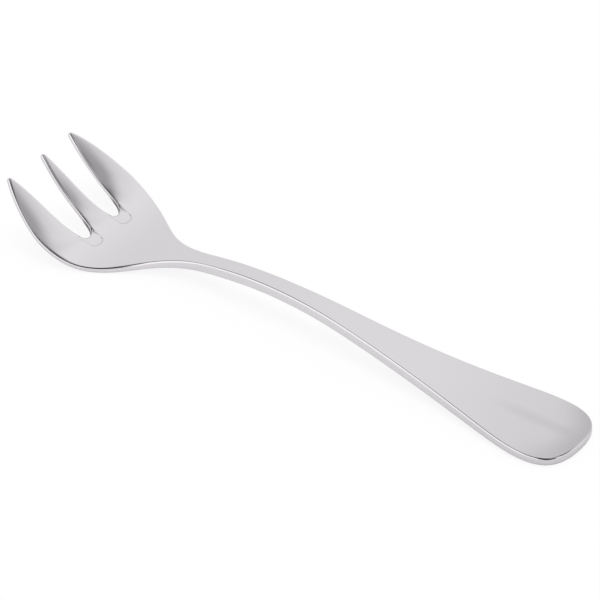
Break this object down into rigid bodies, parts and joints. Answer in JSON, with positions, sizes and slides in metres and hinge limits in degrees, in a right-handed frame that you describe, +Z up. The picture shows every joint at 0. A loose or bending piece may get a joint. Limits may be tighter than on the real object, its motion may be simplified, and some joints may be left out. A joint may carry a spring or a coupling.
{
  "type": "oyster fork",
  "caption": "Oyster fork: broad head with short wide-set tines around rounded slots, bent upward, on a slim neck and an arched handle that widens to a rounded end.",
  "frame": {"origin": "on the table, under the middle of the fork's length and width as it lies with its tines up", "axes": "+X along the fork from the tine tips to the handle end, +Y across it to one side, +Z up from the table"},
  "size_m": [0.145, 0.031, 0.0152],
  "materials": {
    "polished_steel": "polished stainless steel, bright with very fine polishing marks"
  },
  "bodies": {
    "root": {"fork": "polished_steel"}
  },
  "joints": []
}
